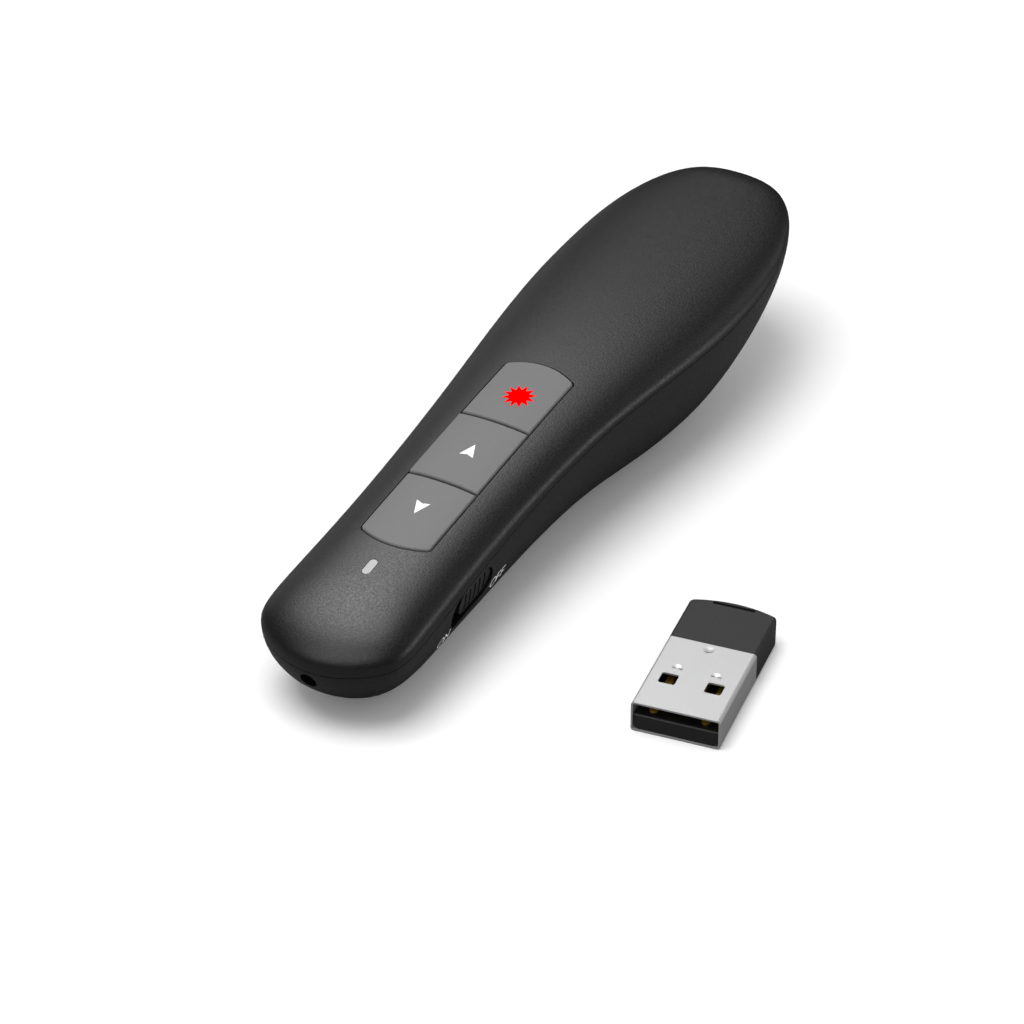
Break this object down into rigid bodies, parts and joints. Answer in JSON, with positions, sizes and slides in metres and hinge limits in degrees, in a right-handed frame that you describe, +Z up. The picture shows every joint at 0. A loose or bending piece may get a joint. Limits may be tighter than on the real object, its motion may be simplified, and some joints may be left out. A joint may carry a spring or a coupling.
{
  "type": "wireless presentation clicker",
  "caption": "Slim black presentation remote with a key panel, laser aperture, side power slide and battery door, with its USB plug receiver beside it.",
  "frame": {"origin": "middle of the flat on the handset's belly, where it rests on the table", "axes": "+X from the nose to the tail, +Z up from the table, the power switch is on the -Y side"},
  "size_m": [0.1164, 0.0626, 0.0239],
  "materials": {
    "casing_black": "fine soft-touch grain",
    "key_grey": "satin",
    "switch_grey": "satin",
    "light_pipe": "frosted translucent",
    "led_package": "clear resin on white",
    "board_green": "solder mask",
    "chip_black": "moulded resin",
    "crystal_can": "plated can",
    "antenna_ceramic": "ceramic",
    "tact_housing": "moulded",
    "tact_plunger": "moulded",
    "laser_brass": "turned",
    "laser_glass": "clear",
    "laser_can": "plated can",
    "cell_sleeve": "plain sleeve",
    "contact_steel": "nickel plated",
    "cradle_black": "moulded",
    "screw_steel": "zinc plated",
    "plug_steel": "nickel plated sheet",
    "tongue_black": "moulded",
    "contact_gold": "gold plated",
    "receiver_black": "satin"
  },
  "bodies": {
    "handset": {"upper_shell": "casing_black", "lower_shell": "casing_black", "status_light_pipe": "light_pipe", "status_led": "led_package", "main_circuit_board": "board_green", "control_chip": "chip_black", "radio_chip": "chip_black", "crystal": "crystal_can", "antenna": "antenna_ceramic", "laser_key_switch": "tact_housing", "forward_key_switch": "tact_housing", "back_key_switch": "tact_housing", "power_switch_body": "tact_housing", "laser_barrel": "laser_brass", "laser_lens": "laser_glass", "laser_diode": "laser_can", "battery_cell": "cell_sleeve", "battery_contact_plate": "contact_steel", "battery_spring": "contact_steel", "battery_cradle": "cradle_black", "board_screws": "screw_steel", "case_screw": "screw_steel"},
    "laser_button": {"laser_button": "key_grey", "laser_plunger": "tact_plunger"},
    "forward_button": {"forward_button": "key_grey", "forward_plunger": "tact_plunger"},
    "back_button": {"back_button": "key_grey", "back_plunger": "tact_plunger"},
    "power_switch_knob": {"power_switch_knob": "switch_grey", "power_switch_lever": "switch_grey"},
    "battery_door": {"battery_door": "casing_black"},
    "receiver": {"receiver_circuit_board": "board_green", "receiver_chip": "chip_black", "receiver_crystal": "crystal_can", "receiver_plug_shell": "plug_steel", "receiver_tongue": "tongue_black", "receiver_contacts": "contact_gold", "receiver_housing": "receiver_black"}
  },
  "joints": [
    {"name": "laser_button_press", "type": "slide", "parent": "handset", "child": "laser_button", "axis": [0.1175, 0, -0.9931], "range_m": [0, 0.00035], "stiffness_N_per_m": 300, "springref_m": -0.0005},
    {"name": "forward_button_press", "type": "slide", "parent": "handset", "child": "forward_button", "axis": [0.1175, 0, -0.9931], "range_m": [0, 0.00035], "stiffness_N_per_m": 300, "springref_m": -0.0005},
    {"name": "back_button_press", "type": "slide", "parent": "handset", "child": "back_button", "axis": [0.1175, 0, -0.9931], "range_m": [0, 0.00035], "stiffness_N_per_m": 300, "springref_m": -0.0005},
    {"name": "power_switch_slide", "type": "slide", "parent": "handset", "child": "power_switch_knob", "axis": [-0.9931, 0, -0.1175], "range_m": [0, 0.0023]},
    {"name": "battery_door_slide", "type": "slide", "parent": "handset", "child": "battery_door", "axis": [1, 0, 0], "range_m": [0, 0.008]},
    {"name": "receiver_lift", "type": "slide", "parent": "handset", "child": "receiver", "axis": [0, 0, 1], "range_m": [0, 0.05]}
  ]
}
